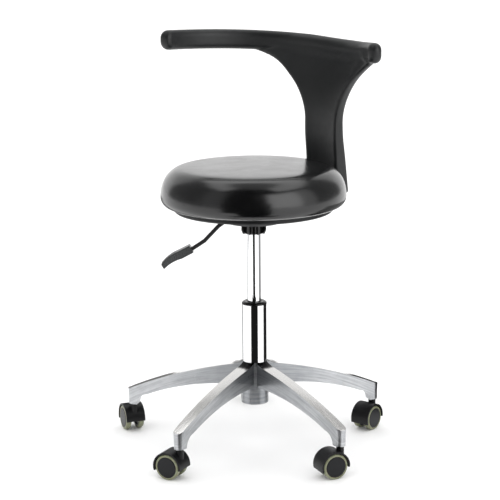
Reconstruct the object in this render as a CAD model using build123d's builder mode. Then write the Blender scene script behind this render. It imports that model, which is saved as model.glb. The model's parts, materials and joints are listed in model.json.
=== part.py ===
from build123d import *
import os
from math import cos, sin, radians

# Dentist stool: five-leg star base on twin-wheel casters, gas lift, round upholstered seat
# with a height lever under it, and a T-shaped armrest that turns around the seat.
# Millimetres, +Z up. The origin is on the floor, on the column's axis.
# The armrest's stem stands at +Y, and the lever points between -X and -Y.

os.makedirs("parts", exist_ok=True)

running_gap = 0.05          # radial clearance of every shaft that turns or slides in a bore

# --- casters: 50 mm twin wheels on an 11 mm stem ---
caster_count = 5
wheel_radius = 25.0
wheel_inner_face = 7.6      # from the caster's middle plane
wheel_outer_face = 19.6
tread_inner_radius = 20.5
hub_disc_radius = 19.2
caster_trail = 18.0
hood_radius = 29.5
hood_half_width = 20.0
hood_cavity_radius = 26.3
hood_web_half = 7.0
caster_height = 60.0        # floor to the underside of the leg's socket
stem_radius = 5.5
stem_bottom_z = 31.0
stem_top_z = 87.0
axle_radius = 3.0
axle_half_length = 17.8

# --- star base: polished aluminium casting ---
stem_circle = 260.0         # radius on which the caster stems stand
first_leg_angle = -4.6
leg_step = 360.0 / caster_count
leg_angles = [first_leg_angle + leg_step * k for k in range(caster_count)]
trail_angles = [250.8, 279.5, 137.0, 158.5, 199.3]    # where each caster happens to trail
leg_half_root = 13.5
leg_half_tip = 10.4
web_fillet = 3.0
boss_radius_bottom = 9.7
boss_radius_top = 11.2
hub_radius = 27.5
hub_bottom_z = 85.0
hub_top_z = 171.0
leg_wall = 3.5

# --- column: 50 mm outer tube, 28 mm gas cylinder, 10 mm piston rod ---
column_radius = 25.0
column_wall = 2.0
column_top_z = 288.5
foot_top_radius = 24.6      # tapered foot in the hub
foot_bottom_radius = 22.6
foot_bottom_z = 92.0
foot_floor = 3.0
bush_cap_z = 294.0
bush_bottom_z = 228.0
cylinder_radius = 14.0
cylinder_bore = 11.0
cylinder_bottom_z = 233.0
cylinder_top_z = 464.0
cylinder_taper_top = 13.2
gland_length = 15.0
rod_radius = 5.0
rod_bottom_z = 87.0
rod_top_z = 327.0
piston_length = 16.0
race_outer = 15.0
race_height = 2.5
ball_radius = 1.6

# --- seat mechanism ---
neck_bottom_z = 432.0
neck_radius = 26.0
neck_core_radius = 18.0
housing_floor_z = 456.0
housing_radius = 62.0
housing_height = 14.1
sheet = 2.5
turntable_radius = 36.0
turntable_bore = 31.0
washer_radius = 61.0
ring_radius = 50.0
ring_bottom_z = 472.0
ring_thickness = 6.0
washer_thickness = 1.8
plate_bottom_z = 480.0
plate_radius = 62.0

# --- seat cushion ---
board_bottom_z = 488.0
board_thickness = 12.0
board_radius = 155.0
pan_radius = 158.0
pan_bottom_z = 479.0
seat_radius = 183.0
seat_foot_radius = 160.0
seat_widest_z = 509.0
seat_top_z = 565.0
seat_flat_radius = 125.0
cover_thickness = 1.5
seat_bolt_circle = 104.0
seat_bolt_radius = 3.0

# --- lever ---
lever_angle = 227.0
lever_rod_radius = 4.0
pivot_distance = 24.0
pivot_z = 463.5
pivot_pin_radius = 2.5
lever_inner_rise = 10.0      # the lever's inner end over its pivot
release_pin_radius = 4.0

# --- armrest ---
arm_radius = 237.0
arm_height = 40.0
arm_thickness = 27.0
arm_centre_z = 788.2
arm_slope = (0.040, 0.0314)  # fall of the arm's plane along +X and +Y: the long end stands highest
arm_short_angle = 47.0
arm_long_angle = 187.0
bar_width = 40.0
arm_stem_bottom_z = 490.0


def finish(piece, label):
    """Name a finished piece and write its STEP file."""
    piece.part.label = label
    export_step(piece.part, f"parts/{label}.step")


def radial_plane(angle):
    """Vertical plane through the column's axis: local x runs outwards at the angle, local y is up."""
    outwards = (cos(radians(angle)), sin(radians(angle)), 0)
    across = (sin(radians(angle)), -cos(radians(angle)), 0)
    return Plane(origin=(0, 0, 0), x_dir=outwards, z_dir=across)


# ---------------------------------------------------------------- star base
# space under each leg, between its two walls
with BuildPart() as leg_hollow:
    with BuildSketch(Plane.XY.offset(caster_height)):
        with PolarLocations(0, caster_count, start_angle=first_leg_angle):
            Polygon(
                (36, leg_wall - leg_half_root),
                (36, leg_half_root - leg_wall),
                (240, leg_half_tip - leg_wall + 0.4),
                (240, leg_wall - leg_half_tip - 0.4),
                align=None,
            )
    extrude(amount=hub_top_z)
    with BuildSketch(Plane.XZ):
        with BuildLine():
            Line((36, 50), (240, 50))
            Line((240, 50), (240, 98.5))
            ThreePointArc((240, 98.5), (150, 132.5), (40, 158.5))
            Line((40, 158.5), (36, 50))
        make_face()
    revolve(axis=Axis.Z, mode=Mode.INTERSECT)

# Plan of the star and side profile of a leg meet: the casting is what both share.
with BuildPart() as star_base:
    with BuildSketch(Plane.XY.offset(caster_height)) as star_plan:
        with PolarLocations(0, caster_count, start_angle=first_leg_angle):
            Polygon(
                (0, -leg_half_root),
                (0, leg_half_root),
                (stem_circle, leg_half_tip),
                (stem_circle, -leg_half_tip),
                align=None,
            )
        inner_corners = star_plan.vertices().sort_by_distance((0, 0, 0))[:caster_count]
        fillet(inner_corners, radius=web_fillet)
        with PolarLocations(stem_circle, caster_count, start_angle=first_leg_angle):
            Circle(leg_half_tip)
    extrude(amount=hub_top_z)
    with BuildSketch(Plane.XZ):
        with BuildLine():
            Line((0, 112), (30, 121))
            ThreePointArc((30, 121), (137, 111.5), (228, 84))
            ThreePointArc((228, 84), (245, 75), (250.5, caster_height))
            Line((250.5, caster_height), (275, caster_height))
            Line((275, caster_height), (275, 90))
            ThreePointArc((275, 90), (150, 137.5), (44, 163.5))
            ThreePointArc((44, 163.5), (34, 166.5), (26, hub_top_z))
            Line((26, hub_top_z), (0, hub_top_z))
            Line((0, hub_top_z), (0, 112))
        make_face()
    revolve(axis=Axis.Z, mode=Mode.INTERSECT)

    # hub
    with BuildSketch(Plane.XY.offset(hub_bottom_z)):
        Circle(hub_radius)
    extrude(amount=hub_top_z - hub_bottom_z - 6)

    # caster bosses at the tips, slightly tapered
    for angle in leg_angles:
        with BuildSketch(radial_plane(angle)):
            with BuildLine():
                Polyline(
                    (stem_circle, caster_height),
                    (stem_circle + boss_radius_bottom, caster_height),
                    (stem_circle + boss_radius_top, 93.0),
                    (stem_circle, 94.5),
                    close=True,
                )
            make_face()
        boss_axis = Axis((stem_circle * cos(radians(angle)), stem_circle * sin(radians(angle)), 0), (0, 0, 1))
        revolve(axis=boss_axis)

    # hollow underside of the legs
    add(leg_hollow.part, mode=Mode.SUBTRACT)

    # tapered seat of the column's foot, open to the hub's underside
    with BuildSketch(Plane.XZ):
        with BuildLine():
            Polyline(
                (0, hub_bottom_z),
                (foot_bottom_radius - 2.5, hub_bottom_z),
                (foot_bottom_radius - 2.5, foot_bottom_z),
                (foot_bottom_radius, foot_bottom_z),
                (foot_top_radius, hub_top_z),
                (0, hub_top_z),
                close=True,
            )
        make_face()
    revolve(axis=Axis.Z, mode=Mode.SUBTRACT)

    # caster sockets
    with BuildSketch(Plane.XY.offset(caster_height)):
        with PolarLocations(stem_circle, caster_count, start_angle=first_leg_angle):
            Circle(stem_radius + running_gap)
    extrude(amount=stem_top_z - caster_height + 0.5, mode=Mode.SUBTRACT)
finish(star_base, "star_base")

# ---------------------------------------------------------------- column, fixed in the base
with BuildPart() as outer_column:
    with BuildSketch(Plane.XZ):
        with BuildLine():
            Polyline(
                (rod_radius + running_gap, foot_bottom_z),
                (foot_bottom_radius, foot_bottom_z),
                (foot_top_radius, hub_top_z),
                (column_radius, hub_top_z + 0.5),
                (column_radius, column_top_z),
                (column_radius - column_wall, column_top_z),
                (column_radius - column_wall, hub_top_z),
                (foot_bottom_radius - column_wall, foot_bottom_z + foot_floor),
                (rod_radius + running_gap, foot_bottom_z + foot_floor),
                close=True,
            )
        make_face()
    revolve(axis=Axis.Z)
finish(outer_column, "outer_column")

with BuildPart() as column_bush:
    with BuildSketch(Plane.XZ):
        with BuildLine():
            Polyline(
                (cylinder_radius + running_gap, bush_bottom_z),
                (column_radius - column_wall, bush_bottom_z),
                (column_radius - column_wall, column_top_z),
                (column_radius + 0.3, column_top_z),
                (column_radius + 0.3, column_top_z + 1.5),
            )
            ThreePointArc(
                (column_radius + 0.3, column_top_z + 1.5),
                (column_radius - 2.2, bush_cap_z - 1.0),
                (cylinder_radius + 3.5, bush_cap_z),
            )
            Polyline(
                (cylinder_radius + 3.5, bush_cap_z),
                (cylinder_radius + running_gap, bush_cap_z - 1.5),
                (cylinder_radius + running_gap, bush_bottom_z),
            )
        make_face()
    revolve(axis=Axis.Z)
finish(column_bush, "column_bush")

# thrust bearing on the column's floor: the rod's shoulder turns on its upper race
bearing_z = foot_bottom_z + foot_floor
ball_centre_z = bearing_z + race_height + ball_radius - 0.4
ball_circle = 10.0
ball_count = 12
with BuildPart() as bearing_races:
    for race_z in (bearing_z, ball_centre_z + ball_radius - 0.4):
        with BuildSketch(Plane.XY.offset(race_z)):
            Circle(race_outer)
            Circle(rod_radius + running_gap, mode=Mode.SUBTRACT)
        extrude(amount=race_height)
    with BuildSketch(Plane.XZ):
        with Locations((ball_circle, ball_centre_z)):
            Circle(ball_radius)
    revolve(axis=Axis.Z, mode=Mode.SUBTRACT)
finish(bearing_races, "bearing_races")

with BuildPart() as bearing_balls:
    with Locations(Plane.XY.offset(ball_centre_z)):
        with PolarLocations(ball_circle, ball_count):
            Sphere(ball_radius)
finish(bearing_balls, "bearing_balls")

# ---------------------------------------------------------------- rod, turns in the base
rod_shoulder_z = ball_centre_z + ball_radius - 0.4 + race_height + 0.02
with BuildPart() as piston_rod:
    with BuildSketch(Plane.XY.offset(rod_bottom_z)):
        Circle(rod_radius)
    extrude(amount=rod_top_z - rod_bottom_z)
    with BuildSketch(Plane.XY.offset(rod_shoulder_z)):
        Circle(rod_radius + 4)
    extrude(amount=5)
finish(piston_rod, "piston_rod")

with BuildPart() as rod_clip:
    with BuildSketch(Plane.XY.offset(foot_bottom_z - 2.4)):
        Circle(rod_radius + 5)
        Circle(rod_radius, mode=Mode.SUBTRACT)
        with Locations((rod_radius + 3, 0)):
            Rectangle(5, 2.5, mode=Mode.SUBTRACT)
    extrude(amount=2.3)
finish(rod_clip, "rod_clip")

with BuildPart() as piston:
    with BuildSketch(Plane.XZ):
        with BuildLine():
            Polyline(
                (rod_radius, rod_top_z - piston_length),
                (cylinder_bore - running_gap, rod_top_z - piston_length),
                (cylinder_bore - running_gap, rod_top_z - 10),
                (cylinder_bore - 1.5, rod_top_z - 10),
                (cylinder_bore - 1.5, rod_top_z - 6),
                (cylinder_bore - running_gap, rod_top_z - 6),
                (cylinder_bore - running_gap, rod_top_z),
                (rod_radius, rod_top_z),
                close=True,
            )
        make_face()
    revolve(axis=Axis.Z)
finish(piston, "piston")

# ---------------------------------------------------------------- gas cylinder, slides on the rod
with BuildPart() as gas_cylinder:
    with BuildSketch(Plane.XZ):
        with BuildLine():
            Polyline(
                (cylinder_bore, cylinder_bottom_z),
                (cylinder_radius, cylinder_bottom_z),
                (cylinder_radius, neck_bottom_z),
                (cylinder_taper_top, cylinder_top_z),
                (release_pin_radius + running_gap, cylinder_top_z),
                (release_pin_radius + running_gap, cylinder_top_z - 12),
                (cylinder_bore, cylinder_top_z - 12),
                close=True,
            )
        make_face()
    revolve(axis=Axis.Z)
finish(gas_cylinder, "gas_cylinder")

with BuildPart() as rod_gland:
    with BuildSketch(Plane.XY.offset(cylinder_bottom_z)):
        Circle(cylinder_bore)
        Circle(rod_radius + running_gap, mode=Mode.SUBTRACT)
    extrude(amount=gland_length)
finish(rod_gland, "rod_gland")

# ---------------------------------------------------------------- neck: ribbed socket on the taper
rib_count = 8
neck_collar_z = housing_floor_z + sheet
with BuildPart() as cone_socket:
    with BuildSketch(Plane.XZ):
        with BuildLine():
            Polyline(
                (0, neck_bottom_z),
                (neck_core_radius, neck_bottom_z),
                (neck_core_radius, housing_floor_z - 3),
                (neck_radius, housing_floor_z - 3),
                (neck_radius, housing_floor_z),
                (neck_core_radius, housing_floor_z),
                (neck_core_radius, neck_collar_z + 1.5),
                (0, neck_collar_z + 1.5),
                close=True,
            )
        make_face()
    revolve(axis=Axis.Z)
    for k in range(rib_count):
        rib_plane = radial_plane(lever_angle + 22.5 + k * 360 / rib_count)
        with BuildSketch(rib_plane):
            with BuildLine():
                Polyline(
                    (neck_core_radius - 1, neck_bottom_z),
                    (neck_radius - 3, neck_bottom_z),
                    (neck_radius, neck_bottom_z + 7),
                    (neck_radius, housing_floor_z - 1),
                    (neck_core_radius - 1, housing_floor_z - 1),
                    close=True,
                )
            make_face()
        extrude(amount=1.5, both=True)
    with BuildSketch(Plane.XZ):
        with BuildLine():
            Polyline(
                (0, neck_bottom_z),
                (cylinder_radius, neck_bottom_z),
                (cylinder_taper_top, cylinder_top_z),
                (0, cylinder_top_z),
                close=True,
            )
        make_face()
    revolve(axis=Axis.Z, mode=Mode.SUBTRACT)
finish(cone_socket, "cone_socket")

# pressed dish that carries the neck and the lever's ears, notched where the lever comes out
lever_plane = radial_plane(lever_angle)
ear_offset = 6.0
ear_thickness = 2.5
with BuildPart() as mechanism_housing:
    with BuildSketch(Plane.XZ):
        with BuildLine():
            Polyline(
                (neck_core_radius, housing_floor_z),
                (housing_radius - 4, housing_floor_z),
                (housing_radius, housing_floor_z + 4),
                (housing_radius, housing_floor_z + housing_height),
                (housing_radius - sheet, housing_floor_z + housing_height),
                (housing_radius - sheet, housing_floor_z + 4.5),
                (housing_radius - 4.5, housing_floor_z + sheet),
                (neck_core_radius, housing_floor_z + sheet),
                close=True,
            )
        make_face()
    revolve(axis=Axis.Z)
    for side in (1, -1):
        ear_plane = lever_plane.offset(side * (ear_offset + ear_thickness / 2))
        with BuildSketch(ear_plane):
            with BuildLine():
                Polyline(
                    (pivot_distance - 4.5, housing_floor_z + sheet - 0.5),
                    (pivot_distance + 4.5, housing_floor_z + sheet - 0.5),
                    (pivot_distance + 4.5, pivot_z + 4.5),
                    (pivot_distance - 4.5, pivot_z + 4.5),
                    close=True,
                )
            make_face()
        extrude(amount=ear_thickness / 2, both=True)
    with BuildSketch(lever_plane):
        with Locations((housing_radius - 12, housing_floor_z + housing_height / 2)):
            Rectangle(26, housing_height + 2)
    extrude(amount=7, both=True, mode=Mode.SUBTRACT)
    with BuildSketch(lever_plane):
        with Locations((pivot_distance, pivot_z)):
            Circle(pivot_pin_radius)
    extrude(amount=ear_offset + ear_thickness, both=True, mode=Mode.SUBTRACT)
finish(mechanism_housing, "mechanism_housing")

with BuildPart() as lever_pin:
    with BuildSketch(lever_plane):
        with Locations((pivot_distance, pivot_z)):
            Circle(pivot_pin_radius)
    extrude(amount=ear_offset + ear_thickness, both=True)
finish(lever_pin, "lever_pin")

# plate under the seat with the turntable's hub tube, slotted for the lever
with BuildPart() as seat_plate:
    with BuildSketch(Plane.XY.offset(plate_bottom_z)):
        Circle(plate_radius)
    extrude(amount=board_bottom_z - plate_bottom_z)
    with BuildSketch(Plane.XY.offset(housing_floor_z + sheet)):
        Circle(turntable_radius)
    extrude(amount=plate_bottom_z - housing_floor_z - sheet)
    with BuildSketch(Plane.XY.offset(housing_floor_z + sheet)):
        Circle(turntable_bore)
    extrude(amount=plate_bottom_z - housing_floor_z - sheet, mode=Mode.SUBTRACT)
    with BuildSketch(lever_plane):
        with Locations((turntable_radius - 3, housing_floor_z + 7.5)):
            Rectangle(14, 16)
    extrude(amount=6.5, both=True, mode=Mode.SUBTRACT)
    with Locations(Plane(origin=(0, 0, plate_bottom_z), z_dir=(0, 0, -1))):
        with PolarLocations(seat_bolt_circle / 2, 4, start_angle=45):
            CounterSinkHole(seat_bolt_radius, seat_bolt_radius * 2)
finish(seat_plate, "seat_plate")

# ---------------------------------------------------------------- seat
with BuildPart() as seat_board:
    with BuildSketch(Plane.XY.offset(board_bottom_z)):
        Circle(board_radius)
    extrude(amount=board_thickness)
    with Locations(Plane.XY.offset(board_bottom_z)):
        with PolarLocations(seat_bolt_circle / 2, 4, start_angle=45):
            Hole(seat_bolt_radius, board_thickness)
    top_rim = seat_board.edges().group_by(Axis.Z)[-1].sort_by(SortBy.RADIUS)[-1]
    fillet(top_rim, radius=3)
finish(seat_board, "seat_board")

bolt_length = board_bottom_z + board_thickness - plate_bottom_z
with BuildPart() as seat_bolts:
    for angle in (45, 135, 225, 315):
        bolt_x = seat_bolt_circle / 2 * cos(radians(angle))
        bolt_y = seat_bolt_circle / 2 * sin(radians(angle))
        with BuildSketch(Plane(origin=(bolt_x, bolt_y, 0), x_dir=(1, 0, 0), z_dir=(0, -1, 0))):
            with BuildLine():
                Polyline(
                    (0, plate_bottom_z),
                    (seat_bolt_radius * 2, plate_bottom_z),
                    (seat_bolt_radius, plate_bottom_z + 3.0),
                    (seat_bolt_radius, plate_bottom_z + bolt_length - 0.5),
                    (0, plate_bottom_z + bolt_length - 0.5),
                    close=True,
                )
            make_face()
        revolve(axis=Axis((bolt_x, bolt_y, 0), (0, 0, 1)))
finish(seat_bolts, "seat_bolts")

# black underside pan: open centre for the turntable, rim up to the board
with BuildPart() as seat_pan:
    with BuildSketch(Plane.XZ):
        with BuildLine():
            Polyline(
                (plate_radius + 2, pan_bottom_z),
                (pan_radius - 3, pan_bottom_z),
                (pan_radius, pan_bottom_z + 3),
                (pan_radius, board_bottom_z - 0.3),
                (pan_radius - 14, board_bottom_z - 0.3),
                (pan_radius - 14, board_bottom_z - 2.5),
                (pan_radius - 2.5, board_bottom_z - 2.5),
                (pan_radius - 2.5, pan_bottom_z + 4),
                (pan_radius - 4, pan_bottom_z + 2.2),
                (plate_radius + 2, pan_bottom_z + 2.2),
                close=True,
            )
        make_face()
    revolve(axis=Axis.Z)
finish(seat_pan, "seat_pan")


def cushion_profile(inset):
    """Half section of the cushion from the axis outwards, moved inwards by the inset."""
    foot = seat_foot_radius - inset
    edge = seat_radius - inset
    top = seat_top_z - inset
    with BuildLine() as outline:
        Line((0, board_bottom_z), (foot, board_bottom_z))
        ThreePointArc((foot, board_bottom_z), (176.5 - inset, 493.5), (edge, seat_widest_z))
        ThreePointArc((edge, seat_widest_z), (175.5 - inset, 537), (154.5 - inset / 2, 557.5 - inset))
        ThreePointArc((154.5 - inset / 2, 557.5 - inset), (141, 563 - inset), (seat_flat_radius, top))
        Line((seat_flat_radius, top), (0, top))
        Line((0, top), (0, board_bottom_z))
    return outline


with BuildPart() as seat_foam:
    with BuildSketch(Plane.XZ):
        add(cushion_profile(cover_thickness).line)
        make_face()
    revolve(axis=Axis.Z)
    add(seat_board.part, mode=Mode.SUBTRACT)
    with BuildSketch(Plane.XY.offset(board_bottom_z)):
        Circle(board_radius)
    extrude(amount=board_thickness, mode=Mode.SUBTRACT)
finish(seat_foam, "seat_foam")

with BuildPart() as seat_cover:
    with BuildSketch(Plane.XZ):
        add(cushion_profile(0).line)
        make_face()
    revolve(axis=Axis.Z)
    with BuildSketch(Plane.XZ):
        add(cushion_profile(cover_thickness).line)
        make_face()
    revolve(axis=Axis.Z, mode=Mode.SUBTRACT)
finish(seat_cover, "seat_cover")

# ---------------------------------------------------------------- lever
rod_points = [
    (-4, pivot_z + lever_inner_rise),
    (9, pivot_z + lever_inner_rise),
    (pivot_distance, pivot_z),
    (46, pivot_z - 0.5),
    (70, 446),
    (98, 416.5),
    (125, 399),
    (160, 380),
]
with BuildPart() as lever_rod:
    with BuildLine(lever_plane) as rod_path:
        FilletPolyline(*rod_points, radius=7)
    with BuildSketch(Plane(origin=rod_path.line @ 0, z_dir=rod_path.line % 0)):
        Circle(lever_rod_radius)
    sweep(path=rod_path.line)
    with BuildSketch(lever_plane):
        with Locations((pivot_distance, pivot_z)):
            Circle(pivot_pin_radius + 2)
    extrude(amount=ear_offset - 0.4, both=True)
    with BuildSketch(lever_plane):
        with Locations((pivot_distance, pivot_z)):
            Circle(pivot_pin_radius + running_gap)
    extrude(amount=ear_offset, both=True, mode=Mode.SUBTRACT)
finish(lever_rod, "lever_rod")

# flat paddle, its outer end turned down
handle_half_width = 11.0
with BuildPart() as lever_handle:
    with BuildSketch(lever_plane):
        with BuildLine():
            Line((119, 395), (127.5, 409))
            Line((127.5, 409), (150, 397.5))
            ThreePointArc((150, 397.5), (172, 384), (184, 371))
            Line((184, 371), (178.5, 361.5))
            ThreePointArc((178.5, 361.5), (163, 374), (143, 382.5))
            Line((143, 382.5), (119, 395))
        make_face()
    extrude(amount=handle_half_width, both=True)
    fillet(lever_handle.edges().filter_by(lambda e: e.length > 18), radius=1.5)
    add(lever_rod.part, mode=Mode.SUBTRACT)
finish(lever_handle, "lever_handle")

with BuildPart() as release_pin:
    with BuildSketch(Plane.XY.offset(cylinder_top_z - 9)):
        Circle(release_pin_radius)
    extrude(amount=9 + lever_inner_rise + pivot_z - lever_rod_radius - cylinder_top_z - 0.15)
    fillet(release_pin.edges().group_by(Axis.Z)[-1], radius=2.5)
finish(release_pin, "release_pin")

# ---------------------------------------------------------------- armrest
# One flat bar: a ring on the turntable, an arm under the seat, and a bend up into the pad as its core.
bar_z = ring_bottom_z + ring_thickness / 2
bar_points = [(ring_radius - 8, bar_z), (202, bar_z), (202, 590), (196.5, 648), (204, 705), (222, 752)]
bar_bends = [14, 40, 40, 40]
with BuildPart() as arm_bracket:
    with BuildSketch(Plane.XY.offset(ring_bottom_z)):
        Circle(ring_radius)
        Circle(turntable_radius + running_gap, mode=Mode.SUBTRACT)
    extrude(amount=ring_thickness)
    with BuildLine(Plane.YZ) as bar_path:
        FilletPolyline(*bar_points, radius=bar_bends)
    with BuildSketch(Plane(origin=bar_path.line @ 0, x_dir=(1, 0, 0), z_dir=bar_path.line % 0)):
        Rectangle(bar_width, ring_thickness)
    sweep(path=bar_path.line)
finish(arm_bracket, "arm_bracket")

with BuildPart() as turntable_washers:
    for washer_z in (ring_bottom_z - washer_thickness - 0.1, ring_bottom_z + ring_thickness + 0.1):
        with BuildSketch(Plane.XY.offset(washer_z)):
            Circle(washer_radius)
            Circle(turntable_radius + running_gap, mode=Mode.SUBTRACT)
        extrude(amount=washer_thickness)
finish(turntable_washers, "turntable_washers")

# T-shaped pad: a leaning stem whose top flares into the curved arm
arm_normal = Vector(*arm_slope, 1).normalized()
arm_outwards = Vector(cos(radians(arm_short_angle)), sin(radians(arm_short_angle)), 0)
arm_outwards = (arm_outwards - arm_normal * arm_outwards.dot(arm_normal)).normalized()
arm_sweep = arm_long_angle - arm_short_angle
with BuildPart() as arm_pad:
    # stem: side profile turned about the column's axis, trimmed to the flared front outline
    with BuildSketch(Plane.XZ):
        with BuildLine():
            Spline((194, arm_stem_bottom_z), (188.5, 600), (185.5, 650), (194, 715), (224, 775))
            Line((224, 775), (251, 780))
            Spline((251, 780), (218, 706), (208, 650), (214.5, 600), (228, arm_stem_bottom_z + 6))
            Line((228, arm_stem_bottom_z + 6), (222, arm_stem_bottom_z))
            Line((222, arm_stem_bottom_z), (194, arm_stem_bottom_z))
        make_face()
    revolve(axis=Axis.Z, revolution_arc=180)
    with BuildSketch(Plane.XZ):
        with BuildLine():
            Line((-34, arm_stem_bottom_z), (34, arm_stem_bottom_z))
            ThreePointArc((34, arm_stem_bottom_z), (41, 496), (43, 505))
            Line((43, 505), (43, 650))
            ThreePointArc((43, 650), (61, 715), (105, 760))
            Line((105, 760), (105, 785))
            Line((105, 785), (-135, 785))
            Line((-135, 785), (-135, 768))
            ThreePointArc((-135, 768), (-66, 715), (-43, 640))
            Line((-43, 640), (-43, 505))
            ThreePointArc((-43, 505), (-41, 496), (-34, arm_stem_bottom_z))
        make_face()
    extrude(amount=-300, mode=Mode.INTERSECT)
    # arm: rounded bar bent around the seat
    arm_centre = (0, 0, arm_centre_z)
    with BuildSketch(Plane(origin=arm_centre, x_dir=arm_outwards, z_dir=arm_outwards.cross(arm_normal))):
        with Locations((arm_radius, 0)):
            RectangleRounded(arm_thickness, arm_height, 11)
    revolve(axis=Axis(arm_centre, arm_normal), revolution_arc=arm_sweep)
    # the bar is moulded in
    add(arm_bracket.part, mode=Mode.SUBTRACT)
finish(arm_pad, "arm_pad")

# ---------------------------------------------------------------- casters and wheels
for k in range(caster_count):
    leg_direction = radians(leg_angles[k])
    trail_direction = radians(trail_angles[k])
    stem_x = stem_circle * cos(leg_direction)
    stem_y = stem_circle * sin(leg_direction)
    trail = Vector(cos(trail_direction), sin(trail_direction), 0)
    across = Vector(sin(trail_direction), -cos(trail_direction), 0)
    axle_centre = Vector(stem_x, stem_y, wheel_radius) + trail * caster_trail
    side_plane = Plane(origin=axle_centre, x_dir=trail, z_dir=across)
    stem_plane = Plane(origin=(stem_x, stem_y, 0))
    name = f"caster_{k + 1}"

    with BuildPart() as hood:
        with BuildSketch(side_plane):
            Circle(hood_radius)
            with BuildLine():
                Polyline((-40, -1.5), (40, -10), (40, -40), (-40, -40), close=True)
            make_face(mode=Mode.SUBTRACT)
        extrude(amount=hood_half_width, both=True)
        with BuildSketch(stem_plane.offset(stem_bottom_z)):
            Circle(7.5)
        extrude(amount=caster_height - 1 - stem_bottom_z)
        with BuildSketch(side_plane):
            Circle(9)
        extrude(amount=hood_web_half, both=True)
        for side in (1, -1):
            with BuildSketch(side_plane.offset(side * hood_web_half)):
                Circle(hood_cavity_radius)
            extrude(amount=side * (hood_half_width - hood_web_half), mode=Mode.SUBTRACT)
        with BuildSketch(stem_plane.offset(stem_bottom_z)):
            Circle(stem_radius)
        extrude(amount=caster_height, mode=Mode.SUBTRACT)
        with BuildSketch(side_plane):
            Circle(axle_radius)
        extrude(amount=hood_half_width, both=True, mode=Mode.SUBTRACT)
    finish(hood, f"{name}_hood")

    with BuildPart() as stem:
        with BuildSketch(stem_plane.offset(stem_bottom_z)):
            Circle(stem_radius)
        extrude(amount=stem_top_z - stem_bottom_z)
        chamfer(stem.edges().sort_by(Axis.Z)[-1], length=1.2)
    finish(stem, f"{name}_stem")

    with BuildPart() as axle:
        with BuildSketch(side_plane):
            Circle(axle_radius)
        extrude(amount=axle_half_length, both=True)
    finish(axle, f"{name}_axle")

    for side, side_name in ((1, "right"), (-1, "left")):
        wheel_plane = Plane(origin=axle_centre, x_dir=across * side, z_dir=trail * side)
        axle_axis = Axis(axle_centre, across * side)
        with BuildPart() as wheel_core:
            with BuildSketch(wheel_plane):
                with BuildLine():
                    Polyline(
                        (wheel_inner_face, axle_radius + running_gap),
                        (wheel_inner_face, 7),
                        (11, 7),
                        (11, 18),
                        (8.2, 18),
                        (8.2, tread_inner_radius),
                        (19, tread_inner_radius),
                        (19, hub_disc_radius),
                        (wheel_outer_face, hub_disc_radius - 0.6),
                        (wheel_outer_face, 0),
                        (axle_half_length + 0.2, 0),
                        (axle_half_length + 0.2, axle_radius + running_gap),
                        close=True,
                    )
                make_face()
            revolve(axis=axle_axis)
        finish(wheel_core, f"{name}_wheel_{side_name}_core")

        with BuildPart() as tread:
            with BuildSketch(wheel_plane) as tread_section:
                with BuildLine():
                    Line((8.2, tread_inner_radius), (8.2, wheel_radius - 2.4))
                    ThreePointArc((8.2, wheel_radius - 2.4), (8.9, wheel_radius - 0.7), (10.6, wheel_radius))
                    Line((10.6, wheel_radius), (16.6, wheel_radius))
                    ThreePointArc((16.6, wheel_radius), (18.5, wheel_radius - 0.8), (19.3, wheel_radius - 2.7))
                    Line((19.3, wheel_radius - 2.7), (19.3, tread_inner_radius))
                    Line((19.3, tread_inner_radius), (8.2, tread_inner_radius))
                make_face()
            revolve(axis=axle_axis)
        finish(tread, f"{name}_wheel_{side_name}_tread")
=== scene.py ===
"""The looks of the dentist stool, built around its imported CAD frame. Metres, +Z up, the floor at z = 0."""
import json
from itertools import product
from math import cos, pi, radians, sin

import bpy
import numpy as np
from mathutils import Matrix, Vector


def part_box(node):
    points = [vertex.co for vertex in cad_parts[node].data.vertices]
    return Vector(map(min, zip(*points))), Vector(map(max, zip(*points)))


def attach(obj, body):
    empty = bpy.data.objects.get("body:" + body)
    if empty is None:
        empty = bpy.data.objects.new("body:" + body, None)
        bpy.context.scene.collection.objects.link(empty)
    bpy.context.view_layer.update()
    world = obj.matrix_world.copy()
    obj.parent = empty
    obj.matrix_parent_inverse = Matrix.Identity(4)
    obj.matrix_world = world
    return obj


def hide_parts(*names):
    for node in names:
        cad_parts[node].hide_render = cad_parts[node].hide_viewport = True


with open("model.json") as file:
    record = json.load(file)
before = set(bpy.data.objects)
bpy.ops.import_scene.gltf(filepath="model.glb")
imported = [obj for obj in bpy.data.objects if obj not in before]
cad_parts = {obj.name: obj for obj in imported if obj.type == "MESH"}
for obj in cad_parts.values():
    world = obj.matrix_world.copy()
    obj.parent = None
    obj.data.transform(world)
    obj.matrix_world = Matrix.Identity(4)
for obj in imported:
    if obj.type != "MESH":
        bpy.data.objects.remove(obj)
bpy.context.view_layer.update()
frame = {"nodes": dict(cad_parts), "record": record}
scene = bpy.context.scene
scene.view_settings.view_transform = "Standard"

camera_azimuth = radians(47)       # the photograph looks in from between +X and -Y
to_camera = Vector((sin(camera_azimuth), -cos(camera_azimuth), 0))
to_right = Vector((cos(camera_azimuth), sin(camera_azimuth), 0))


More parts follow.
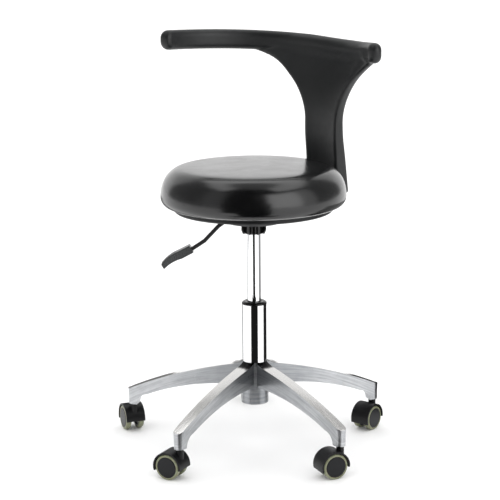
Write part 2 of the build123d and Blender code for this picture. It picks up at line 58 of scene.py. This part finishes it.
# ---------------------------------------------------------------- camera
def place_camera():
    """A long lens a little above the seat, looking slightly down."""
    distance, height = 3.1, 1.0783
    yaw, pitch, roll = -0.0025, 0.21624, -0.00776
    forward = Vector((sin(yaw) * cos(pitch), cos(yaw) * cos(pitch), -sin(pitch)))
    level = Vector((cos(yaw), -sin(yaw), 0))
    above = level.cross(forward)
    right = level * cos(roll) + above * sin(roll)
    up = above * cos(roll) - level * sin(roll)
    matrix = Matrix((right, up, -forward)).transposed().to_4x4()
    matrix.translation = (0, -distance, height)
    data = bpy.data.cameras.new("camera")
    data.sensor_width = 36
    data.lens = 115.2
    data.clip_start, data.clip_end = 0.05, 60
    camera = bpy.data.objects.new("camera", data)
    scene.collection.objects.link(camera)
    camera.matrix_world = Matrix.Rotation(camera_azimuth, 4, "Z") @ matrix
    scene.camera = camera


# ---------------------------------------------------------------- node helpers
class Nodes:
    """Short ways to add nodes to a material's or world's tree."""

    def __init__(self, owner):
        owner.use_nodes = True
        self.tree = owner.node_tree
        self.tree.nodes.clear()

    def add(self, kind, inputs=None, **settings):
        node = self.tree.nodes.new(kind)
        for key, value in settings.items():
            setattr(node, key, value)
        for key, value in (inputs or {}).items():
            self.put(value, node.inputs[key])
        return node

    def put(self, value, socket):
        if isinstance(value, bpy.types.NodeSocket):
            self.tree.links.new(value, socket)
        else:
            socket.default_value = value

    def math(self, operation, *values):
        node = self.add("ShaderNodeMath", operation=operation)
        for value, socket in zip(values, node.inputs):
            self.put(value, socket)
        return node.outputs[0]

    def measure(self, operation, a, b=(0, 0, 0)):
        """One number from vectors: a length or a dot product."""
        node = self.add("ShaderNodeVectorMath", operation=operation)
        self.put(a, node.inputs[0])
        self.put(b, node.inputs[1])
        return node.outputs["Value"]

    def ramp(self, value, low, high, to_low=0.0, to_high=1.0, smooth=False):
        """The value mapped from low..high to to_low..to_high, held at the ends."""
        inputs = {"Value": value, "From Min": low, "From Max": high, "To Min": to_low, "To Max": to_high}
        node = self.add("ShaderNodeMapRange", inputs, interpolation_type="SMOOTHSTEP" if smooth else "LINEAR")
        return node.outputs[0]

    def blend(self, factor, a, b):
        """Colour a where the factor is 0, b where it is 1."""
        node = self.add("ShaderNodeMix", data_type="RGBA")
        colour_a, colour_b = [socket for socket in node.inputs if socket.type == "RGBA"]
        self.put(factor, node.inputs[0])
        self.put(a, colour_a)
        self.put(b, colour_b)
        return node.outputs[2]

    def noise(self, vector, scale, detail=3.0, roughness=0.55):
        node = self.add("ShaderNodeTexNoise", {"Scale": scale, "Detail": detail, "Roughness": roughness})
        self.put(vector, node.inputs["Vector"])
        return node.outputs["Fac"]

    def cells(self, vector, scale, feature="F1"):
        node = self.add("ShaderNodeTexVoronoi", {"Scale": scale}, feature=feature)
        self.put(vector, node.inputs["Vector"])
        return node.outputs["Distance"]

    def place(self):
        return self.add("ShaderNodeTexCoord").outputs["Object"]

    def split(self, vector):
        """The x, y and z of a vector."""
        return self.add("ShaderNodeSeparateXYZ", {"Vector": vector}).outputs

    def point(self, x=0.0, y=0.0, z=0.0):
        return self.add("ShaderNodeCombineXYZ", {"X": x, "Y": y, "Z": z}).outputs[0]

    def bump(self, height, strength, distance, normal=None):
        node = self.add("ShaderNodeBump", {"Height": height, "Strength": strength, "Distance": distance})
        if normal is not None:
            self.put(normal, node.inputs["Normal"])
        return node.outputs["Normal"]

    def surface(self, base, rough, metal=0.0, normal=None, **plain):
        """The Principled shader. The plain values are uniform and stay on its own sockets."""
        shader = self.add("ShaderNodeBsdfPrincipled")
        self.put(base, shader.inputs["Base Color"])
        self.put(rough, shader.inputs["Roughness"])
        shader.inputs["Metallic"].default_value = metal
        for key, value in plain.items():
            shader.inputs[key.replace("_", " ").title().replace("Ior", "IOR")].default_value = value
        if normal is not None:
            self.put(normal, shader.inputs["Normal"])
        out = self.add("ShaderNodeOutputMaterial")
        self.put(shader.outputs[0], out.inputs[0])


def grey(level):
    return (level, level, level, 1)


# ---------------------------------------------------------------- materials
def moulded(name, base, light, rough, grain=700.0, bump=0.15, scuffs=0.0, **plain):
    """Moulded plastic: fine spark texture, slight colour drift and a little rubbed shine."""
    made = bpy.data.materials.new(name)
    n = Nodes(made)
    place = n.place()
    drift = n.ramp(n.noise(place, 14), 0.35, 0.65)
    speck = n.noise(place, grain, 4)
    rubbed = n.ramp(n.noise(place, 38, 5, 0.7), 0.55, 0.78)
    colour = n.blend(drift, base, light)
    matt = n.ramp(speck, 0.3, 0.7, rough - 0.05, rough + 0.06)
    finish = n.math("ADD", matt, n.math("MULTIPLY", rubbed, -scuffs))
    n.surface(colour, finish, normal=n.bump(speck, bump, 0.0004), **plain)
    return made


def vinyl(name):
    """Taut upholstery vinyl: fine pebbled grain, long soft waves and small gloss changes."""
    made = bpy.data.materials.new(name)
    n = Nodes(made)
    place = n.place()
    pebble = n.math("MULTIPLY", n.cells(place, 900, "SMOOTH_F1"), 0.5)
    grain = n.math("ADD", pebble, n.math("MULTIPLY", n.noise(place, 1500, 3), 0.5))
    waves = n.noise(place, 9, 2)
    handled = n.ramp(n.noise(place, 22, 4, 0.65), 0.35, 0.7)
    colour = n.blend(handled, (0.0016, 0.0017, 0.0020, 1), (0.0028, 0.0030, 0.0034, 1))
    finish = n.ramp(handled, 0, 1, 0.20, 0.27)
    normal = n.bump(grain, 0.10, 0.0003, n.bump(waves, 0.25, 0.004))
    n.surface(colour, finish, normal=normal, ior=1.52, coat_weight=0.35, coat_roughness=0.16)
    return made


def self_skin(name):
    """Integral-skin polyurethane: satin black, a barely uneven moulded skin."""
    made = bpy.data.materials.new(name)
    n = Nodes(made)
    place = n.place()
    skin = n.math("ADD", n.noise(place, 420, 5, 0.6), n.math("MULTIPLY", n.cells(place, 260), 0.35))
    cloud = n.ramp(n.noise(place, 11, 4, 0.6), 0.3, 0.7)
    colour = n.blend(cloud, (0.0040, 0.0046, 0.0052, 1), (0.0066, 0.0076, 0.0082, 1))
    finish = n.ramp(n.noise(place, 60, 5, 0.7), 0.3, 0.75, 0.36, 0.50)
    normal = n.bump(skin, 0.12, 0.0004, n.bump(n.noise(place, 16, 2), 0.2, 0.003))
    n.surface(colour, finish, normal=normal, ior=1.5, specular_ior_level=0.48)
    return made


def cast_aluminium(name):
    """Star base: polished tops brushed outwards, a painted dark reflection of the seat round the column's
    foot, and satin, streaked sides with painted shade towards the hub.
    """
    made = bpy.data.materials.new(name)
    n = Nodes(made)
    place = n.place()
    x, y, z = n.split(place)
    reach = n.measure("LENGTH", n.point(x, y))
    around = n.math("MULTIPLY", n.math("ARCTAN2", y, x), 70.0)
    outwards = n.point(around, n.math("MULTIPLY", reach, 3.0), n.math("MULTIPLY", z, 30.0))
    brushed = n.noise(outwards, 2.4, 6, 0.7)
    # the leg falls about as fast as the square of its reach, so this level runs along it
    level = n.math("ADD", z, n.math("MULTIPLY", reach, reach))
    streaked = n.noise(n.point(x, y, n.math("MULTIPLY", level, 22.0)), 13, 5, 0.65)
    cloud = n.noise(place, 45, 4, 0.65)
    upward = n.split(n.add("ShaderNodeTexCoord").outputs["Normal"])[2]
    top = n.ramp(upward, 0.55, 0.85, smooth=True)
    grain = n.math("ADD", n.math("MULTIPLY", streaked, 0.8), n.math("MULTIPLY", cloud, 0.2))
    grain = n.ramp(grain, 0.34, 0.66)
    # Painted shade: the sides' colour grows darker towards the hub and lighter towards the tips, by reach
    # alone.
    shaded_near_hub = n.blend(grain, (0.24, 0.25, 0.266, 1), (0.40, 0.41, 0.425, 1))
    lit_near_tip = n.blend(grain, (0.33, 0.34, 0.355, 1), (0.62, 0.63, 0.645, 1))
    side_tone_with_painted_shade = n.blend(n.ramp(reach, 0.03, 0.21, smooth=True), shaded_near_hub, lit_near_tip)
    polished = n.blend(n.ramp(brushed, 0.35, 0.7), (0.86, 0.85, 0.83, 1), (0.97, 0.96, 0.95, 1))
    # Painted reflection: a near-black ring on the polished tops round the column's foot stands for the dark
    # seat reflected there.
    painted_reflection_reach = n.math("ADD", reach, n.ramp(brushed, 0.3, 0.7, -0.004, 0.004))
    top_tone_with_painted_reflection = n.blend(n.ramp(painted_reflection_reach, 0.040, 0.049, smooth=True), (0.010, 0.010, 0.011, 1), polished)
    rough_side = n.ramp(n.noise(place, 180, 4, 0.7), 0.3, 0.7, 0.26, 0.38)
    rough_top = n.ramp(brushed, 0.3, 0.75, 0.10, 0.24)
    side_share = n.math("MULTIPLY", rough_side, n.math("SUBTRACT", 1.0, top))
    finish = n.math("ADD", n.math("MULTIPLY", rough_top, top), side_share)
    normal = n.bump(n.blend(top, streaked, brushed), 0.10, 0.0006, n.bump(cloud, 0.06, 0.0010))
    n.surface(n.blend(top, side_tone_with_painted_shade, top_tone_with_painted_reflection), finish, 1.0, normal)
    return made


def chrome(name):
    """Bright chrome: near-mirror with faint draw lines and a breath of haze."""
    tone, rough = 0.93, 0.035
    made = bpy.data.materials.new(name)
    n = Nodes(made)
    place = n.place()
    drawn = n.add("ShaderNodeMapping", {"Vector": place, "Scale": (1.0, 1.0, 0.03)}).outputs[0]
    lines = n.noise(drawn, 320, 4, 0.6)
    haze = n.noise(place, 26, 4, 0.65)
    hazy_tone = (tone * 0.95, tone * 0.96, tone * 0.98, 1)
    colour = n.blend(n.ramp(haze, 0.3, 0.7), (tone, tone, tone * 1.01, 1), hazy_tone)
    finish = n.ramp(haze, 0.35, 0.7, rough * 0.7, rough * 2.0)
    n.surface(colour, finish, 1.0, n.bump(lines, 0.05, 0.0002))
    return made


def plated(name):
    """Zinc-plated steel: grey with a faint spangle."""
    made = bpy.data.materials.new(name)
    n = Nodes(made)
    place = n.place()
    spangle = n.cells(place, 420)
    colour = n.blend(n.ramp(spangle, 0.1, 0.6), (0.50, 0.51, 0.53, 1), (0.68, 0.68, 0.66, 1))
    finish = n.ramp(n.noise(place, 240, 4, 0.7), 0.3, 0.7, 0.22, 0.40)
    n.surface(colour, finish, 1.0, n.bump(spangle, 0.08, 0.0003))
    return made


def powder_coat(name):
    """Black powder coat on steel: fine orange peel, edges rubbed a little brighter."""
    made = bpy.data.materials.new(name)
    n = Nodes(made)
    place = n.place()
    peel = n.noise(place, 520, 3, 0.5)
    edge = n.ramp(n.add("ShaderNodeNewGeometry").outputs["Pointiness"], 0.53, 0.62)
    rubbed = n.math("MULTIPLY", edge, n.noise(place, 90, 4))
    colour = n.blend(rubbed, (0.012, 0.012, 0.013, 1), grey(0.055))
    n.surface(colour, n.ramp(peel, 0.3, 0.7, 0.30, 0.42), normal=n.bump(peel, 0.25, 0.0004))
    return made


def polyurethane(name):
    """Caster tread: olive translucent urethane with dust dulling the running face."""
    made = bpy.data.materials.new(name)
    n = Nodes(made)
    place = n.place()
    dust = n.ramp(n.noise(place, 130, 5, 0.7), 0.4, 0.7)
    colour = n.blend(dust, (0.155, 0.165, 0.095, 1), (0.23, 0.235, 0.150, 1))
    finish = n.ramp(dust, 0, 1, 0.34, 0.5)
    normal = n.bump(dust, 0.1, 0.0003)
    n.surface(colour, finish, normal=normal, subsurface_weight=0.12, subsurface_scale=0.002)
    return made


def ply(name):
    """Birch plywood: stacked veneers at the edge, long grain on the faces."""
    made = bpy.data.materials.new(name)
    n = Nodes(made)
    place = n.place()
    stretched = n.add("ShaderNodeMapping", {"Vector": place, "Scale": (1.0, 14.0, 1.0)}).outputs[0]
    grain = n.noise(stretched, 22, 6, 0.65)
    layer = n.math("PINGPONG", n.split(place)[2], 0.0015)
    veneer = n.ramp(layer, 0.0005, 0.0010, smooth=True)
    shade = n.math("ADD", n.math("MULTIPLY", n.ramp(grain, 0.3, 0.7), 0.7), n.math("MULTIPLY", veneer, 0.3))
    colour = n.blend(shade, (0.46, 0.31, 0.17, 1), (0.68, 0.52, 0.33, 1))
    n.surface(colour, n.ramp(grain, 0.3, 0.7, 0.55, 0.7), normal=n.bump(grain, 0.2, 0.0004))
    return made


materials = {
    "polished_aluminium": cast_aluminium("cast_aluminium"),
    "column_chrome": chrome("column_chrome"),
    "plated_steel": plated("plated_steel"),
    "black_steel": powder_coat("black_steel"),
    "bush_plastic": moulded("bush_plastic", grey(0.002), grey(0.004), 0.16, bump=0.05, scuffs=0.05),
    "neck_plastic": moulded("neck_plastic", grey(0.002), grey(0.004), 0.16, bump=0.06, scuffs=0.05),
    "handle_plastic": moulded(
        "handle_plastic", (0.018, 0.020, 0.021, 1), (0.028, 0.030, 0.031, 1), 0.27, bump=0.08, scuffs=0.08,
    ),
    "pan_plastic": moulded(
        "pan_plastic", (0.0045, 0.0047, 0.0052, 1), (0.0075, 0.008, 0.0088, 1), 0.42, bump=0.2,
        specular_ior_level=0.3,
    ),
    "washer_nylon": moulded("washer_nylon", (0.62, 0.60, 0.55, 1), (0.70, 0.68, 0.62, 1), 0.4),
    "hood_nylon": moulded(
        "hood_nylon", (0.003, 0.003, 0.0035, 1), (0.0055, 0.0055, 0.006, 1), 0.38, grain=520, bump=0.22,
        scuffs=0.10, specular_ior_level=0.28,
    ),
    "wheel_nylon": moulded(
        "wheel_nylon", (0.003, 0.0033, 0.0045, 1), (0.0055, 0.006, 0.0075, 1), 0.34, grain=600, bump=0.15,
        scuffs=0.10, specular_ior_level=0.28,
    ),
    "tread_polyurethane": polyurethane("tread_polyurethane"),
    "plywood": ply("plywood"),
    "foam": moulded("foam", (0.80, 0.74, 0.50, 1), (0.86, 0.80, 0.58, 1), 0.85, grain=300, bump=0.5),
    "seat_vinyl": vinyl("seat_vinyl"),
    "arm_skin": self_skin("arm_skin"),
}


def finish_cad_nodes():
    """Every CAD node takes the material of its slot."""
    for part in frame["record"]["subparts"]:
        node = frame["nodes"][part["node"]]
        node.data.materials.clear()
        node.data.materials.append(materials[part["material_slot"]])


def add_piece(name, points, faces, slot, body, *replaced):
    """A mesh piece in the row frame, finished with its slot's material, riding on its body."""
    mesh = bpy.data.meshes.new(name)
    mesh.from_pydata([tuple(p) for p in points], [], [tuple(int(i) for i in f) for f in faces])
    mesh.validate()
    mesh.polygons.foreach_set("use_smooth", [True] * len(mesh.polygons))
    mesh.materials.append(materials[slot])
    piece = bpy.data.objects.new(name, mesh)
    scene.collection.objects.link(piece)
    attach(piece, body)
    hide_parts(*replaced)
    return piece


# ---------------------------------------------------------------- smooth solids from distance fields
def rounded_prism(outline, depth, edge):
    """Distance to a solid whose outline and depth distances are given, its edges rounded."""
    across, through = outline + edge, depth + edge
    outside = np.hypot(np.maximum(across, 0), np.maximum(through, 0))
    return outside + np.minimum(np.maximum(across, through), 0) - edge


def joined(a, b, reach):
    """Union of two distances with a soft fillet where they meet."""
    near = np.maximum(reach - np.abs(a - b), 0) / reach
    return np.minimum(a, b) - near * near * reach / 4


def field_slope(field, points):
    """Gradient of a field at the points."""
    small = 1e-5
    steps = np.eye(3) * small
    return np.stack([field(points + s) - field(points - s) for s in steps], 1) / (2 * small)


def onto_surface(field, points, rounds, longest):
    """The points moved along the slope until they lie on the field's surface."""
    for _ in range(rounds):
        slope = field_slope(field, points)
        step = (field(points) / np.maximum((slope ** 2).sum(1), 1e-6))[:, None] * slope
        size = np.linalg.norm(step, axis=1, keepdims=True)
        points = points - step * np.minimum(1, longest / np.maximum(size, 1e-9))
    return points


def field_mesh(field, low, high, cell):
    """Points and quads of the surface where the field is zero: one point in each cell that it crosses."""
    axes = [np.arange(a - 2 * cell, b + 3 * cell, cell) for a, b in zip(low, high)]
    grid = np.stack(np.meshgrid(*axes, indexing="ij"), -1)
    inside = field(grid.reshape(-1, 3)).reshape(grid.shape[:3]) < 0
    across, along, up = [n - 1 for n in inside.shape]
    corners = list(product((0, 1), repeat=3))
    filled = sum(inside[i:i + across, j:j + along, k:k + up].astype(int) for i, j, k in corners)
    mixed = (filled > 0) & (filled < len(corners))
    index = np.full(mixed.shape, -1)
    index[mixed] = np.arange(mixed.sum())
    points = grid[:-1, :-1, :-1][mixed] + cell / 2
    quads = []
    for axis in range(3):
        first, second = (axis + 1) % 3, (axis + 2) % 3
        here = np.moveaxis(inside, (axis, first, second), (0, 1, 2))
        cells = np.moveaxis(index, (axis, first, second), (0, 1, 2))
        start, stop = here[:-1, 1:-1, 1:-1], here[1:, 1:-1, 1:-1]
        for crossing, turned in ((start & ~stop, False), (~start & stop, True)):
            i, j, k = np.nonzero(crossing)
            ring = [cells[i, j, k], cells[i, j + 1, k], cells[i, j + 1, k + 1], cells[i, j, k + 1]]
            quads.append(np.stack(ring[::-1] if turned else ring, 1))
    quads = np.concatenate(quads)
    points = onto_surface(field, points, rounds=6, longest=cell / 2)
    for _ in range(4):
        total, count = np.zeros_like(points), np.zeros(len(points))
        for a, b in ((0, 1), (1, 2), (2, 3), (3, 0)):
            np.add.at(total, quads[:, a], points[quads[:, b]])
            np.add.at(count, quads[:, a], 1)
        evened = 0.5 * points + 0.5 * total / np.maximum(count, 1)[:, None]
        points = onto_surface(field, evened, rounds=2, longest=cell / 2)
    return points, quads


# ---------------------------------------------------------------- armrest pad
def smooth_through(places, values, at):
    """A smooth curve through the values at a few places, level beyond the ends."""
    at = np.clip(at, places[0], places[-1])
    slopes = np.gradient(values, places)
    i = np.clip(np.searchsorted(places, at) - 1, 0, len(places) - 2)
    span = places[i + 1] - places[i]
    t = (at - places[i]) / span
    rise = values[i] * (2 * t ** 3 - 3 * t ** 2 + 1) + values[i + 1] * (3 * t ** 2 - 2 * t ** 3)
    lean = slopes[i] * (t ** 3 - 2 * t ** 2 + t) + slopes[i + 1] * (t ** 3 - t ** 2)
    return rise + lean * span


def eased(value, low, high):
    """From 0 at low to 1 at high, without a corner at either end."""
    share = np.clip((value - low) / (high - low), 0, 1)
    return share * share * (3 - 2 * share)


arm_radius = 0.237
arm_half_height = 0.020
arm_half_depth = 0.0135
arm_corner = 0.0165                         # of the arm's ends, seen from the side
arm_edge = 0.0125                           # of the arm's section
arm_turns = (radians(-43), radians(97))     # from +Y: the short end towards +X, the long end past -X
stem_half_width = {"long": 0.044, "short": 0.0485}
stem_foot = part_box("arm_pad")[0].z
stem_head = 0.008                           # over the arm's middle line, inside the arm
stem_edge = 0.007
flare_drop = 0.125                          # how far under the arm the stem begins to widen
flare_reach = {"long": 0.166, "short": 0.108}
flare_power = 1.85                          # 2 is an ellipse, less cuts the corner
flare_thinning = 0.004
flare_sinking = 0.003
arm_fillet = 0.016                          # between arm and stem
arm_fillet_loss = 0.015                     # less of it where the flares run out


def arm_level(turn):
    """Height of the arm's middle line: lowest near the stem, rising to the long end."""
    turns = np.radians([-43, -15, 0, 20, 45, 97])
    heights = np.array([0.7838, 0.7785, 0.7798, 0.7862, 0.7922, 0.7995])
    return smooth_through(turns, heights, turn)


def flare_sizes(along):
    """The stem's half width and the flare's reach, on the long or the short side of each point."""
    long_side = along > 0
    half_width = np.where(long_side, stem_half_width["long"], stem_half_width["short"])
    return half_width, np.where(long_side, flare_reach["long"], flare_reach["short"])


def stem_outline(along, level):
    """Distance to the stem with its flares, in the plane unrolled from the seat's circle."""
    half_width, reach = flare_sizes(along)
    below = np.abs(along) - half_width
    out = below - reach
    up = level + arm_half_height + flare_drop
    a, b = np.abs(out / reach), np.abs(up / flare_drop)
    size = (a ** flare_power + b ** flare_power) ** (1 / flare_power)
    slope = np.hypot(a ** (flare_power - 1) / reach, b ** (flare_power - 1) / flare_drop)
    flare = (1 - size) * size ** (flare_power - 1) / np.maximum(slope, 1e-6)
    beyond = np.maximum(-arm_half_height - level, out)
    return np.where(up < 0, below, np.where(out > 0, beyond, flare))


def arm_bar(radius, along, level):
    """Distance to the arm: a rounded bar bent round the seat."""
    middle = arm_radius * sum(arm_turns) / 2
    half_length = arm_radius * (arm_turns[1] - arm_turns[0]) / 2
    past_end = np.abs(along - middle) - half_length
    side_view = rounded_prism(past_end, np.abs(level) - arm_half_height, arm_corner)
    return rounded_prism(side_view, np.abs(radius - arm_radius) - arm_half_depth, arm_edge)


def arm_stem(radius, turn, level, z, spread):
    """Distance to the leaning stem. Out along its flares it moves under the arm and sinks into it."""
    levels = np.array([-0.290, -0.220, -0.160, -0.110, -0.065, -0.030, 0.0])
    radii = np.array([0.2120, 0.2052, 0.1995, 0.2015, 0.2115, 0.2255, 0.2370])
    half_depths = np.array([0.0170, 0.0148, 0.0128, 0.0120, 0.0118, 0.0118, 0.0118])
    away = eased(spread, 0.35, 0.90)
    ending = eased(spread, 0.72, 1.0)
    centre = smooth_through(levels, radii, level) * (1 - away) + arm_radius * away
    thick = smooth_through(levels, half_depths, level) - flare_thinning * away
    trimmed = np.maximum(stem_foot - z, level - stem_head)
    outline = np.maximum(stem_outline(radius * turn, level), trimmed)
    return rounded_prism(outline, np.abs(radius - centre) - thick, stem_edge) + flare_sinking * ending


def arm_field(points):
    """Distance to the T-shaped pad: an arm bent round the seat on a leaning, flaring stem."""
    x, y, z = points.T
    radius = np.hypot(x, y)
    turn = np.arctan2(-x, y)
    level = z - arm_level(turn)
    along = arm_radius * turn
    half_width, reach = flare_sizes(along)
    spread = (np.abs(along) - half_width) / reach
    fillet = arm_fillet - arm_fillet_loss * eased(spread, 0.1, 0.7)
    return joined(arm_bar(radius, along, level), arm_stem(radius, turn, level, z, spread), fillet)


def arm_rest():
    """The self-skinned pad, one moulding over the steel bar."""
    low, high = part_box("arm_pad")
    points, quads = field_mesh(arm_field, low, high, cell=0.0035)
    pad = add_piece("arm_rest_pad", points, quads, "arm_skin", "armrest", "arm_pad")


# ---------------------------------------------------------------- seat cushion
def spline(p, q, r, s, t):
    """From q at t = 0 to r at t = 1, leaning with the neighbours p and s (Catmull-Rom)."""
    square = 2 * p - 5 * q + 4 * r - s
    cube = 3 * q - p - 3 * r + s
    return 0.5 * (2 * q + (r - p) * t + square * t * t + cube * t ** 3)


def smooth_line(controls, parts):
    """A smooth line through the control points, several points to each span."""
    padded = [controls[0], *controls, controls[-1]]
    line = []
    for a, b, c, d in zip(padded, padded[1:], padded[2:], padded[3:]):
        for k in range(parts):
            line.append(tuple(spline(p, q, r, s, k / parts) for p, q, r, s in zip(a, b, c, d)))
    line.append(controls[-1])
    return line


def turned(outline, steps):
    """Points and faces of a closed body, its outline turned about the column's axis from pole to pole."""
    points, faces = [], []
    for radius, height in outline[1:-1]:
        for i in range(steps):
            turn = 2 * pi * i / steps
            points.append((radius * cos(turn), radius * sin(turn), height))
    rings = len(outline) - 2
    for ring in range(rings - 1):
        for i in range(steps):
            a, b = ring * steps + i, ring * steps + (i + 1) % steps
            faces.append((a, a + steps, b + steps, b))
    top, bottom = len(points), len(points) + 1
    points += [(0, 0, outline[0][1]), (0, 0, outline[-1][1])]
    last = (rings - 1) * steps
    for i in range(steps):
        j = (i + 1) % steps
        faces += [(top, i, j), (bottom, last + j, last + i)]
    return points, faces


def cushion():
    """Round foam seat under taut vinyl: slightly crowned top, full shoulder, skirt drawn in below."""
    low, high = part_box("seat_cover")
    edge, top, foot = high.x, high.z, low.z
    crown = [(0.0, top + 0.0020), (0.07, top + 0.0018), (0.120, top + 0.0012), (edge - 0.043, top + 0.0001)]
    shoulder = [(edge - 0.033, top - 0.0019), (edge - 0.025, top - 0.0055), (edge - 0.017, top - 0.0118),
                (edge - 0.0095, top - 0.0205), (edge - 0.0040, top - 0.0320), (edge - 0.0010, top - 0.0445)]
    widest = (edge, top - 0.056)
    skirt = [(edge - 0.0012, foot + 0.0135), (edge - 0.0062, foot + 0.0062), (edge - 0.0145, foot + 0.0018),
             (edge - 0.0225, foot + 0.0003)]
    turned_in, underside = 0.156, foot + 0.0004
    outline = smooth_line([*crown, *shoulder, widest, *skirt], parts=6)
    outline += [(turned_in, underside), (0.0, underside)]
    points, faces = turned(outline, steps=192)
    seat = add_piece("seat_cushion", points, faces, "seat_vinyl", "seat", "seat_cover", "seat_foam")


# ---------------------------------------------------------------- studio
def studio_light():
    """White to the camera, an even dome to matt surfaces, bright and dark areas of sky to gloss."""
    world = bpy.data.worlds.new("studio")
    scene.world = world
    n = Nodes(world)
    direction = n.add("ShaderNodeTexCoord").outputs["Generated"]
    ahead = n.measure("DOT_PRODUCT", direction, to_camera)
    aside = n.measure("DOT_PRODUCT", direction, to_right)
    azimuth = n.math("ARCTAN2", aside, ahead)
    elevation = n.math("ARCSINE", n.measure("DOT_PRODUCT", direction, (0, 0, 1)))
    # Each lies over those before it. In degrees: azimuth from the camera's side towards the right,
    # elevation, the half span of each and the feather. Last, the brightness.
    areas = [
        (0, 14, 180, 90, 8, 0.95),
        (180, 10, 75, 16, 8, 1.15),
        (180, 33, 42, 9, 9, 0.85),
        (0, 49, 180, 3.5, 4, 0.35),
        (0, 64, 180, 9, 5, 1.9),
        (0, 86, 180, 9, 8, 0.5),
        (-6, 25, 40, 44, 12, 0.025),
        (40, 20, 17, 17, 10, 2.4),
        (-66, 20, 22, 22, 12, 0.5),
        (-98, 25, 26, 28, 10, 0.25),
        (110, 15, 22, 30, 8, 0.25),
    ]
    light = 0.6         # where no area lies, near straight down
    for side, rise, half_width, half_height, feather, bright in areas:
        off_side = n.math("ARCCOSINE", n.math("COSINE", n.math("SUBTRACT", azimuth, radians(side))))
        off_rise = n.math("ABSOLUTE", n.math("SUBTRACT", elevation, radians(rise)))
        wide = n.ramp(off_side, radians(half_width + feather), radians(half_width), smooth=True)
        tall = n.ramp(off_rise, radians(half_height + feather), radians(half_height), smooth=True)
        mask = n.math("MULTIPLY", wide, tall)
        kept = n.math("MULTIPLY", light, n.math("SUBTRACT", 1.0, mask))
        light = n.math("ADD", kept, n.math("MULTIPLY", mask, bright))
    path = n.add("ShaderNodeLightPath").outputs
    glossy = path["Is Glossy Ray"]
    dome_low, dome_high = 1.17, 1.52
    dome = n.ramp(elevation, radians(-10), radians(60), dome_low, dome_high)
    matt = n.math("MULTIPLY", n.math("SUBTRACT", 1.0, glossy), dome)
    seen = n.math("MAXIMUM", n.math("ADD", n.math("MULTIPLY", glossy, light), matt), path["Is Camera Ray"])
    sky = n.add("ShaderNodeBackground", {"Strength": seen})
    sky.inputs["Color"].default_value = (1, 1, 1, 1)
    out = n.add("ShaderNodeOutputWorld")
    n.put(sky.outputs[0], out.inputs[0])


def reflected_card(name, azimuth, distance, width, low, high, bright_low, bright_high):
    """A card that only gloss sees, facing the column, its brightness changing from foot to top."""
    outward = Matrix.Rotation(radians(azimuth), 3, "Z") @ to_camera
    across = outward.cross(Vector((0, 0, 1))) * width / 2
    foot = outward * distance
    mesh = bpy.data.meshes.new(name)
    corners = [foot - across + Vector((0, 0, low)), foot + across + Vector((0, 0, low)),
               foot + across + Vector((0, 0, high)), foot - across + Vector((0, 0, high))]
    mesh.from_pydata(corners, [], [(0, 1, 2, 3)])
    made = bpy.data.materials.new(name)
    n = Nodes(made)
    height = n.split(n.place())[2]
    glow = n.add("ShaderNodeEmission", {"Strength": n.ramp(height, low, high, bright_low, bright_high)})
    n.put(glow.outputs[0], n.add("ShaderNodeOutputMaterial").inputs[0])
    mesh.materials.append(made)
    card = bpy.data.objects.new(name, mesh)
    scene.collection.objects.link(card)
    card.visible_camera = card.visible_diffuse = card.visible_shadow = card.visible_transmission = False


def studio_floor():
    """A plain white floor that runs out of sight."""
    made = bpy.data.materials.new("studio_floor")
    n = Nodes(made)
    tone = n.ramp(n.noise(n.place(), 3, 3), 0.3, 0.7, 0.94, 0.955)
    colour = n.add("ShaderNodeCombineColor", {"Red": tone, "Green": tone, "Blue": tone}).outputs[0]
    n.surface(colour, 0.6, specular_ior_level=0.2)
    half = 14.0
    corners = [(-half, -half, 0), (half, -half, 0), (half, half, 0), (-half, half, 0)]
    mesh = bpy.data.meshes.new("studio_floor")
    mesh.from_pydata(corners, [], [(0, 1, 2, 3)])
    mesh.materials.append(made)
    floor = bpy.data.objects.new("studio_floor", mesh)
    scene.collection.objects.link(floor)


place_camera()
finish_cad_nodes()
cushion()
arm_rest()
studio_light()
studio_floor()
# The column's dark stripe, its dark right edge and left rim, and the dusk under the seat: azimuth from
# the camera's side towards the right, distance, width, foot, top, and the brightness at foot and top.
reflected_card("card_front", 0, 0.34, 0.40, 0.001, 0.216, 0.01, 0.01)
reflected_card("card_front_high", 0, 0.34, 0.20, 0.216, 0.48, 0.01, 0.01)
reflected_card("card_right", 118, 0.36, 0.36, 0.001, 0.212, 0.015, 0.02)
reflected_card("card_right_high", 112, 0.36, 0.42, 0.212, 0.44, 0.25, 0.35)
reflected_card("card_left", -142, 0.50, 0.20, 0.001, 0.44, 0.12, 0.30)
reflected_card("card_under_seat", -8, 0.62, 0.62, 0.34, 0.62, 0.03, 0.03)
